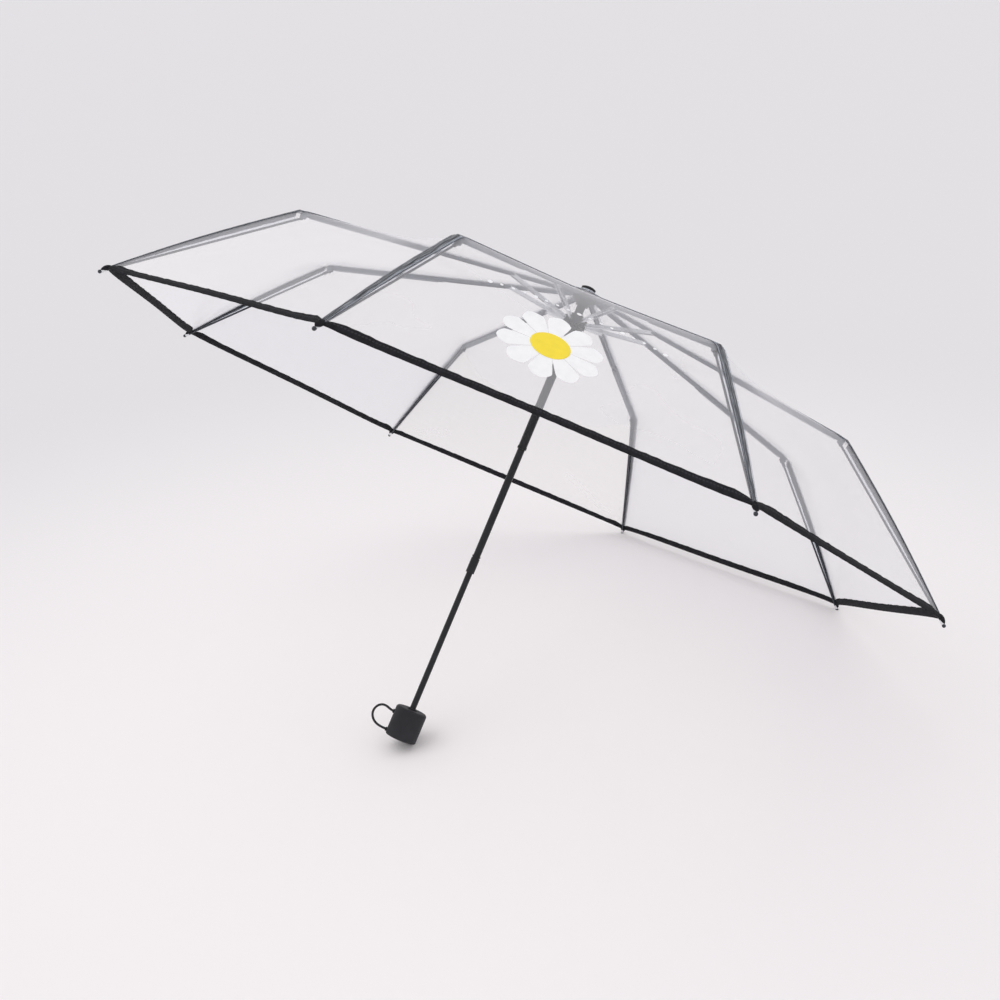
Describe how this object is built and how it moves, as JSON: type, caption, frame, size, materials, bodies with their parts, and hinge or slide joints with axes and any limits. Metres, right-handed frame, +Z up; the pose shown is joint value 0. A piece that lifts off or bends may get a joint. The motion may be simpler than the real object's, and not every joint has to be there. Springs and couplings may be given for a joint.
{
  "type": "folding umbrella",
  "caption": "Compact folding umbrella with a flat-sided clear film canopy, jointed metal ribs, telescoping shaft, short round handle and wrist loop.",
  "frame": {"origin": "centre of the handle's flat lower end", "axes": "+Z up the shaft to the crown; -Y to the printed front gore; -X to the wrist loop"},
  "size_m": [0.8798, 0.8798, 0.5373],
  "materials": {
    "film": "clear soft film, thin, glossy, faintly cool in tint",
    "seam_film": "clear film doubled in a welded seam, with bright and dark edges",
    "hem_fabric": "woven black binding tape with a stitch line",
    "print_white": "white ink on film",
    "print_yellow": "yellow ink on film",
    "rib_paint": "dark blue-grey coated steel channel",
    "bright_steel": "bright rolled steel",
    "end_wire": "dark coated wire",
    "tip_metal": "bright pin",
    "shaft_paint": "satin black paint on steel tube",
    "hub_plastic": "moulded black plastic",
    "handle_plastic": "fine-grained matte black moulding",
    "loop_cord": "stiff smooth black cord"
  },
  "bodies": {
    "handle": {"handle": "handle_plastic", "handle_base": "handle_plastic", "wrist_loop": "loop_cord", "lower_tube": "shaft_paint"},
    "middle_tube": {"middle_tube": "shaft_paint"},
    "top_tube": {"top_tube": "shaft_paint", "crown": "hub_plastic", "crown_pins": "bright_steel", "crown_cap": "hub_plastic", "canopy_crown": "film"},
    "runner": {"runner": "hub_plastic"},
    "open_catch": {"open_catch": "bright_steel"},
    "rib_top_1": {"rib_top_1": "rib_paint"},
    "stretcher_1": {"stretcher_1": "bright_steel"},
    "rib_middle_1": {"rib_middle_1": "rib_paint"},
    "rib_end_1": {"rib_end_1": "end_wire"},
    "canopy_middle_1": {"canopy_middle_1": "film"},
    "canopy_outer_1": {"canopy_outer_1": "film"},
    "rib_top_2": {"rib_top_2": "rib_paint"},
    "stretcher_2": {"stretcher_2": "bright_steel"},
    "rib_middle_2": {"rib_middle_2": "rib_paint"},
    "rib_end_2": {"rib_end_2": "end_wire"},
    "canopy_middle_2": {"canopy_middle_2": "film"},
    "canopy_outer_2": {"canopy_outer_2": "film"},
    "rib_top_3": {"rib_top_3": "rib_paint"},
    "stretcher_3": {"stretcher_3": "bright_steel"},
    "rib_middle_3": {"rib_middle_3": "rib_paint"},
    "rib_end_3": {"rib_end_3": "end_wire"},
    "canopy_middle_3": {"canopy_middle_3": "film"},
    "canopy_outer_3": {"canopy_outer_3": "film"},
    "rib_top_4": {"rib_top_4": "rib_paint"},
    "stretcher_4": {"stretcher_4": "bright_steel"},
    "rib_middle_4": {"rib_middle_4": "rib_paint"},
    "rib_end_4": {"rib_end_4": "end_wire"},
    "canopy_middle_4": {"canopy_middle_4": "film"},
    "canopy_outer_4": {"canopy_outer_4": "film"},
    "rib_top_5": {"rib_top_5": "rib_paint"},
    "stretcher_5": {"stretcher_5": "bright_steel"},
    "rib_middle_5": {"rib_middle_5": "rib_paint"},
    "rib_end_5": {"rib_end_5": "end_wire"},
    "canopy_middle_5": {"canopy_middle_5": "film"},
    "canopy_outer_5": {"canopy_outer_5": "film"},
    "rib_top_6": {"rib_top_6": "rib_paint"},
    "stretcher_6": {"stretcher_6": "bright_steel"},
    "rib_middle_6": {"rib_middle_6": "rib_paint"},
    "rib_end_6": {"rib_end_6": "end_wire"},
    "canopy_middle_6": {"canopy_middle_6": "film"},
    "canopy_outer_6": {"canopy_outer_6": "film"},
    "rib_top_7": {"rib_top_7": "rib_paint"},
    "stretcher_7": {"stretcher_7": "bright_steel"},
    "rib_middle_7": {"rib_middle_7": "rib_paint"},
    "rib_end_7": {"rib_end_7": "end_wire"},
    "canopy_middle_7": {"canopy_middle_7": "film"},
    "canopy_outer_7": {"canopy_outer_7": "film"},
    "rib_top_8": {"rib_top_8": "rib_paint"},
    "stretcher_8": {"stretcher_8": "bright_steel"},
    "rib_middle_8": {"rib_middle_8": "rib_paint"},
    "rib_end_8": {"rib_end_8": "end_wire"},
    "canopy_middle_8": {"canopy_middle_8": "film"},
    "canopy_outer_8": {"canopy_outer_8": "film"}
  },
  "joints": [
    {"name": "middle_tube_slide", "type": "slide", "parent": "handle", "child": "middle_tube", "axis": [0, 0, -1], "range_m": [0, 0.138]},
    {"name": "top_tube_slide", "type": "slide", "parent": "middle_tube", "child": "top_tube", "axis": [0, 0, -1], "range_m": [0, 0.125]},
    {"name": "runner_slide", "type": "slide", "parent": "top_tube", "child": "runner", "axis": [0, 0, -1], "range_m": [0, 0.13081], "deforming": ["canopy_crown"]},
    {"name": "catch_press", "type": "slide", "parent": "top_tube", "child": "open_catch", "axis": [0, 1, 0], "range_m": [0, 0.0017], "stiffness_N_per_m": 600},
    {"name": "crown_hinge_1", "type": "hinge", "parent": "top_tube", "child": "rib_top_1", "pos_m": [-0.00878, -0.00364, 0.525], "axis": [0.3827, -0.9239, 0], "range_deg": [0, 76.28]},
    {"name": "stretcher_hinge_1", "type": "hinge", "parent": "rib_top_1", "child": "stretcher_1", "pos_m": [-0.08223, -0.03406, 0.50952], "axis": [0.3827, -0.9239, 0], "range_deg": [-152.26, 0]},
    {"name": "rib_hinge_1", "type": "hinge", "parent": "rib_top_1", "child": "rib_middle_1", "pos_m": [-0.15931, -0.06599, 0.49327], "axis": [0.3827, -0.9239, 0], "range_deg": [-175.8, 0]},
    {"name": "fold_hinge_1", "type": "hinge", "parent": "rib_middle_1", "child": "rib_end_1", "pos_m": [-0.29444, -0.12196, 0.4602], "axis": [0.3827, -0.9239, 0], "range_deg": [0, 149.06]},
    {"name": "film_middle_hinge_1", "type": "hinge", "parent": "rib_middle_1", "child": "canopy_middle_1", "pos_m": [-0.29934, -0.12399, 0.4665], "axis": [-0.5548, -0.3399, -0.7594], "range_deg": [0, 34.68], "deforming": ["canopy_middle_1"]},
    {"name": "film_outer_hinge_1", "type": "hinge", "parent": "rib_end_1", "child": "canopy_outer_1", "pos_m": [-0.43422, -0.17986, 0.332], "axis": [0.6217, 0.6832, -0.383], "range_deg": [0, 18.66], "deforming": ["canopy_outer_1"]},
    {"name": "crown_hinge_2", "type": "hinge", "parent": "top_tube", "child": "rib_top_2", "pos_m": [-0.00364, -0.00878, 0.525], "axis": [0.9239, -0.3827, 0], "range_deg": [0, 76.28]},
    {"name": "stretcher_hinge_2", "type": "hinge", "parent": "rib_top_2", "child": "stretcher_2", "pos_m": [-0.03406, -0.08223, 0.50952], "axis": [0.9239, -0.3827, 0], "range_deg": [-152.26, 0]},
    {"name": "rib_hinge_2", "type": "hinge", "parent": "rib_top_2", "child": "rib_middle_2", "pos_m": [-0.06599, -0.15931, 0.49327], "axis": [0.9239, -0.3827, 0], "range_deg": [-175.8, 0]},
    {"name": "fold_hinge_2", "type": "hinge", "parent": "rib_middle_2", "child": "rib_end_2", "pos_m": [-0.12196, -0.29444, 0.4602], "axis": [0.9239, -0.3827, 0], "range_deg": [0, 149.06]},
    {"name": "film_middle_hinge_2", "type": "hinge", "parent": "rib_middle_2", "child": "canopy_middle_2", "pos_m": [-0.12399, -0.29934, 0.4665], "axis": [-0.1519, -0.6327, -0.7594], "range_deg": [0, 34.68], "deforming": ["canopy_middle_2"]},
    {"name": "film_outer_hinge_2", "type": "hinge", "parent": "rib_end_2", "child": "canopy_outer_2", "pos_m": [-0.17986, -0.43422, 0.332], "axis": [-0.0435, 0.9227, -0.383], "range_deg": [0, 18.66], "deforming": ["canopy_outer_2"]},
    {"name": "crown_hinge_3", "type": "hinge", "parent": "top_tube", "child": "rib_top_3", "pos_m": [0.00364, -0.00878, 0.525], "axis": [0.9239, 0.3827, 0], "range_deg": [0, 76.28]},
    {"name": "stretcher_hinge_3", "type": "hinge", "parent": "rib_top_3", "child": "stretcher_3", "pos_m": [0.03406, -0.08223, 0.50952], "axis": [0.9239, 0.3827, 0], "range_deg": [-152.26, 0]},
    {"name": "rib_hinge_3", "type": "hinge", "parent": "rib_top_3", "child": "rib_middle_3", "pos_m": [0.06599, -0.15931, 0.49327], "axis": [0.9239, 0.3827, 0], "range_deg": [-175.8, 0]},
    {"name": "fold_hinge_3", "type": "hinge", "parent": "rib_middle_3", "child": "rib_end_3", "pos_m": [0.12196, -0.29444, 0.4602], "axis": [0.9239, 0.3827, 0], "range_deg": [0, 149.06]},
    {"name": "film_middle_hinge_3", "type": "hinge", "parent": "rib_middle_3", "child": "canopy_middle_3", "pos_m": [0.12399, -0.29934, 0.4665], "axis": [0.3399, -0.5548, -0.7594], "range_deg": [0, 34.68], "deforming": ["canopy_middle_3"]},
    {"name": "film_outer_hinge_3", "type": "hinge", "parent": "rib_end_3", "child": "canopy_outer_3", "pos_m": [0.17986, -0.43422, 0.332], "axis": [-0.6832, 0.6217, -0.383], "range_deg": [0, 18.66], "deforming": ["canopy_outer_3"]},
    {"name": "crown_hinge_4", "type": "hinge", "parent": "top_tube", "child": "rib_top_4", "pos_m": [0.00878, -0.00364, 0.525], "axis": [0.3827, 0.9239, 0], "range_deg": [0, 76.28]},
    {"name": "stretcher_hinge_4", "type": "hinge", "parent": "rib_top_4", "child": "stretcher_4", "pos_m": [0.08223, -0.03406, 0.50952], "axis": [0.3827, 0.9239, 0], "range_deg": [-152.26, 0]},
    {"name": "rib_hinge_4", "type": "hinge", "parent": "rib_top_4", "child": "rib_middle_4", "pos_m": [0.15931, -0.06599, 0.49327], "axis": [0.3827, 0.9239, 0], "range_deg": [-175.8, 0]},
    {"name": "fold_hinge_4", "type": "hinge", "parent": "rib_middle_4", "child": "rib_end_4", "pos_m": [0.29444, -0.12196, 0.4602], "axis": [0.3827, 0.9239, 0], "range_deg": [0, 149.06]},
    {"name": "film_middle_hinge_4", "type": "hinge", "parent": "rib_middle_4", "child": "canopy_middle_4", "pos_m": [0.29934, -0.12399, 0.4665], "axis": [0.6327, -0.1519, -0.7594], "range_deg": [0, 34.68], "deforming": ["canopy_middle_4"]},
    {"name": "film_outer_hinge_4", "type": "hinge", "parent": "rib_end_4", "child": "canopy_outer_4", "pos_m": [0.43422, -0.17986, 0.332], "axis": [-0.9227, -0.0435, -0.383], "range_deg": [0, 18.66], "deforming": ["canopy_outer_4"]},
    {"name": "crown_hinge_5", "type": "hinge", "parent": "top_tube", "child": "rib_top_5", "pos_m": [0.00878, 0.00364, 0.525], "axis": [-0.3827, 0.9239, 0], "range_deg": [0, 76.28]},
    {"name": "stretcher_hinge_5", "type": "hinge", "parent": "rib_top_5", "child": "stretcher_5", "pos_m": [0.08223, 0.03406, 0.50952], "axis": [-0.3827, 0.9239, 0], "range_deg": [-152.26, 0]},
    {"name": "rib_hinge_5", "type": "hinge", "parent": "rib_top_5", "child": "rib_middle_5", "pos_m": [0.15931, 0.06599, 0.49327], "axis": [-0.3827, 0.9239, 0], "range_deg": [-175.8, 0]},
    {"name": "fold_hinge_5", "type": "hinge", "parent": "rib_middle_5", "child": "rib_end_5", "pos_m": [0.29444, 0.12196, 0.4602], "axis": [-0.3827, 0.9239, 0], "range_deg": [0, 149.06]},
    {"name": "film_middle_hinge_5", "type": "hinge", "parent": "rib_middle_5", "child": "canopy_middle_5", "pos_m": [0.29934, 0.12399, 0.4665], "axis": [0.5548, 0.3399, -0.7594], "range_deg": [0, 34.68], "deforming": ["canopy_middle_5"]},
    {"name": "film_outer_hinge_5", "type": "hinge", "parent": "rib_end_5", "child": "canopy_outer_5", "pos_m": [0.43422, 0.17986, 0.332], "axis": [-0.6217, -0.6832, -0.383], "range_deg": [0, 18.66], "deforming": ["canopy_outer_5"]},
    {"name": "crown_hinge_6", "type": "hinge", "parent": "top_tube", "child": "rib_top_6", "pos_m": [0.00364, 0.00878, 0.525], "axis": [-0.9239, 0.3827, 0], "range_deg": [0, 76.28]},
    {"name": "stretcher_hinge_6", "type": "hinge", "parent": "rib_top_6", "child": "stretcher_6", "pos_m": [0.03406, 0.08223, 0.50952], "axis": [-0.9239, 0.3827, 0], "range_deg": [-152.26, 0]},
    {"name": "rib_hinge_6", "type": "hinge", "parent": "rib_top_6", "child": "rib_middle_6", "pos_m": [0.06599, 0.15931, 0.49327], "axis": [-0.9239, 0.3827, 0], "range_deg": [-175.8, 0]},
    {"name": "fold_hinge_6", "type": "hinge", "parent": "rib_middle_6", "child": "rib_end_6", "pos_m": [0.12196, 0.29444, 0.4602], "axis": [-0.9239, 0.3827, 0], "range_deg": [0, 149.06]},
    {"name": "film_middle_hinge_6", "type": "hinge", "parent": "rib_middle_6", "child": "canopy_middle_6", "pos_m": [0.12399, 0.29934, 0.4665], "axis": [0.1519, 0.6327, -0.7594], "range_deg": [0, 34.68], "deforming": ["canopy_middle_6"]},
    {"name": "film_outer_hinge_6", "type": "hinge", "parent": "rib_end_6", "child": "canopy_outer_6", "pos_m": [0.17986, 0.43422, 0.332], "axis": [0.0435, -0.9227, -0.383], "range_deg": [0, 18.66], "deforming": ["canopy_outer_6"]},
    {"name": "crown_hinge_7", "type": "hinge", "parent": "top_tube", "child": "rib_top_7", "pos_m": [-0.00364, 0.00878, 0.525], "axis": [-0.9239, -0.3827, 0], "range_deg": [0, 76.28]},
    {"name": "stretcher_hinge_7", "type": "hinge", "parent": "rib_top_7", "child": "stretcher_7", "pos_m": [-0.03406, 0.08223, 0.50952], "axis": [-0.9239, -0.3827, 0], "range_deg": [-152.26, 0]},
    {"name": "rib_hinge_7", "type": "hinge", "parent": "rib_top_7", "child": "rib_middle_7", "pos_m": [-0.06599, 0.15931, 0.49327], "axis": [-0.9239, -0.3827, 0], "range_deg": [-175.8, 0]},
    {"name": "fold_hinge_7", "type": "hinge", "parent": "rib_middle_7", "child": "rib_end_7", "pos_m": [-0.12196, 0.29444, 0.4602], "axis": [-0.9239, -0.3827, 0], "range_deg": [0, 149.06]},
    {"name": "film_middle_hinge_7", "type": "hinge", "parent": "rib_middle_7", "child": "canopy_middle_7", "pos_m": [-0.12399, 0.29934, 0.4665], "axis": [-0.3399, 0.5548, -0.7594], "range_deg": [0, 34.68], "deforming": ["canopy_middle_7"]},
    {"name": "film_outer_hinge_7", "type": "hinge", "parent": "rib_end_7", "child": "canopy_outer_7", "pos_m": [-0.17986, 0.43422, 0.332], "axis": [0.6832, -0.6217, -0.383], "range_deg": [0, 18.66], "deforming": ["canopy_outer_7"]},
    {"name": "crown_hinge_8", "type": "hinge", "parent": "top_tube", "child": "rib_top_8", "pos_m": [-0.00878, 0.00364, 0.525], "axis": [-0.3827, -0.9239, 0], "range_deg": [0, 76.28]},
    {"name": "stretcher_hinge_8", "type": "hinge", "parent": "rib_top_8", "child": "stretcher_8", "pos_m": [-0.08223, 0.03406, 0.50952], "axis": [-0.3827, -0.9239, 0], "range_deg": [-152.26, 0]},
    {"name": "rib_hinge_8", "type": "hinge", "parent": "rib_top_8", "child": "rib_middle_8", "pos_m": [-0.15931, 0.06599, 0.49327], "axis": [-0.3827, -0.9239, 0], "range_deg": [-175.8, 0]},
    {"name": "fold_hinge_8", "type": "hinge", "parent": "rib_middle_8", "child": "rib_end_8", "pos_m": [-0.29444, 0.12196, 0.4602], "axis": [-0.3827, -0.9239, 0], "range_deg": [0, 149.06]},
    {"name": "film_middle_hinge_8", "type": "hinge", "parent": "rib_middle_8", "child": "canopy_middle_8", "pos_m": [-0.29934, 0.12399, 0.4665], "axis": [-0.6327, 0.1519, -0.7594], "range_deg": [0, 34.68], "deforming": ["canopy_middle_8"]},
    {"name": "film_outer_hinge_8", "type": "hinge", "parent": "rib_end_8", "child": "canopy_outer_8", "pos_m": [-0.43422, 0.17986, 0.332], "axis": [0.9227, 0.0435, -0.383], "range_deg": [0, 18.66], "deforming": ["canopy_outer_8"]}
  ],
  "couplings": [
    {"joint": "crown_hinge_1", "follows": "runner_slide", "rad_per_m": 10.138},
    {"joint": "stretcher_hinge_1", "follows": "runner_slide", "rad_per_m": -20.275},
    {"joint": "rib_hinge_1", "follows": "runner_slide", "rad_per_m": -23.416},
    {"joint": "fold_hinge_1", "follows": "runner_slide", "rad_per_m": 19.848},
    {"joint": "film_middle_hinge_1", "follows": "runner_slide", "rad_per_m": 4.5873},
    {"joint": "film_outer_hinge_1", "follows": "runner_slide", "rad_per_m": 2.4501},
    {"joint": "crown_hinge_2", "follows": "runner_slide", "rad_per_m": 10.138},
    {"joint": "stretcher_hinge_2", "follows": "runner_slide", "rad_per_m": -20.275},
    {"joint": "rib_hinge_2", "follows": "runner_slide", "rad_per_m": -23.416},
    {"joint": "fold_hinge_2", "follows": "runner_slide", "rad_per_m": 19.848},
    {"joint": "film_middle_hinge_2", "follows": "runner_slide", "rad_per_m": 4.5873},
    {"joint": "film_outer_hinge_2", "follows": "runner_slide", "rad_per_m": 2.4501},
    {"joint": "crown_hinge_3", "follows": "runner_slide", "rad_per_m": 10.138},
    {"joint": "stretcher_hinge_3", "follows": "runner_slide", "rad_per_m": -20.275},
    {"joint": "rib_hinge_3", "follows": "runner_slide", "rad_per_m": -23.416},
    {"joint": "fold_hinge_3", "follows": "runner_slide", "rad_per_m": 19.848},
    {"joint": "film_middle_hinge_3", "follows": "runner_slide", "rad_per_m": 4.5873},
    {"joint": "film_outer_hinge_3", "follows": "runner_slide", "rad_per_m": 2.4501},
    {"joint": "crown_hinge_4", "follows": "runner_slide", "rad_per_m": 10.138},
    {"joint": "stretcher_hinge_4", "follows": "runner_slide", "rad_per_m": -20.275},
    {"joint": "rib_hinge_4", "follows": "runner_slide", "rad_per_m": -23.416},
    {"joint": "fold_hinge_4", "follows": "runner_slide", "rad_per_m": 19.848},
    {"joint": "film_middle_hinge_4", "follows": "runner_slide", "rad_per_m": 4.5873},
    {"joint": "film_outer_hinge_4", "follows": "runner_slide", "rad_per_m": 2.4501},
    {"joint": "crown_hinge_5", "follows": "runner_slide", "rad_per_m": 10.138},
    {"joint": "stretcher_hinge_5", "follows": "runner_slide", "rad_per_m": -20.275},
    {"joint": "rib_hinge_5", "follows": "runner_slide", "rad_per_m": -23.416},
    {"joint": "fold_hinge_5", "follows": "runner_slide", "rad_per_m": 19.848},
    {"joint": "film_middle_hinge_5", "follows": "runner_slide", "rad_per_m": 4.5873},
    {"joint": "film_outer_hinge_5", "follows": "runner_slide", "rad_per_m": 2.4501},
    {"joint": "crown_hinge_6", "follows": "runner_slide", "rad_per_m": 10.138},
    {"joint": "stretcher_hinge_6", "follows": "runner_slide", "rad_per_m": -20.275},
    {"joint": "rib_hinge_6", "follows": "runner_slide", "rad_per_m": -23.416},
    {"joint": "fold_hinge_6", "follows": "runner_slide", "rad_per_m": 19.848},
    {"joint": "film_middle_hinge_6", "follows": "runner_slide", "rad_per_m": 4.5873},
    {"joint": "film_outer_hinge_6", "follows": "runner_slide", "rad_per_m": 2.4501},
    {"joint": "crown_hinge_7", "follows": "runner_slide", "rad_per_m": 10.138},
    {"joint": "stretcher_hinge_7", "follows": "runner_slide", "rad_per_m": -20.275},
    {"joint": "rib_hinge_7", "follows": "runner_slide", "rad_per_m": -23.416},
    {"joint": "fold_hinge_7", "follows": "runner_slide", "rad_per_m": 19.848},
    {"joint": "film_middle_hinge_7", "follows": "runner_slide", "rad_per_m": 4.5873},
    {"joint": "film_outer_hinge_7", "follows": "runner_slide", "rad_per_m": 2.4501},
    {"joint": "crown_hinge_8", "follows": "runner_slide", "rad_per_m": 10.138},
    {"joint": "stretcher_hinge_8", "follows": "runner_slide", "rad_per_m": -20.275},
    {"joint": "rib_hinge_8", "follows": "runner_slide", "rad_per_m": -23.416},
    {"joint": "fold_hinge_8", "follows": "runner_slide", "rad_per_m": 19.848},
    {"joint": "film_middle_hinge_8", "follows": "runner_slide", "rad_per_m": 4.5873},
    {"joint": "film_outer_hinge_8", "follows": "runner_slide", "rad_per_m": 2.4501}
  ]
}
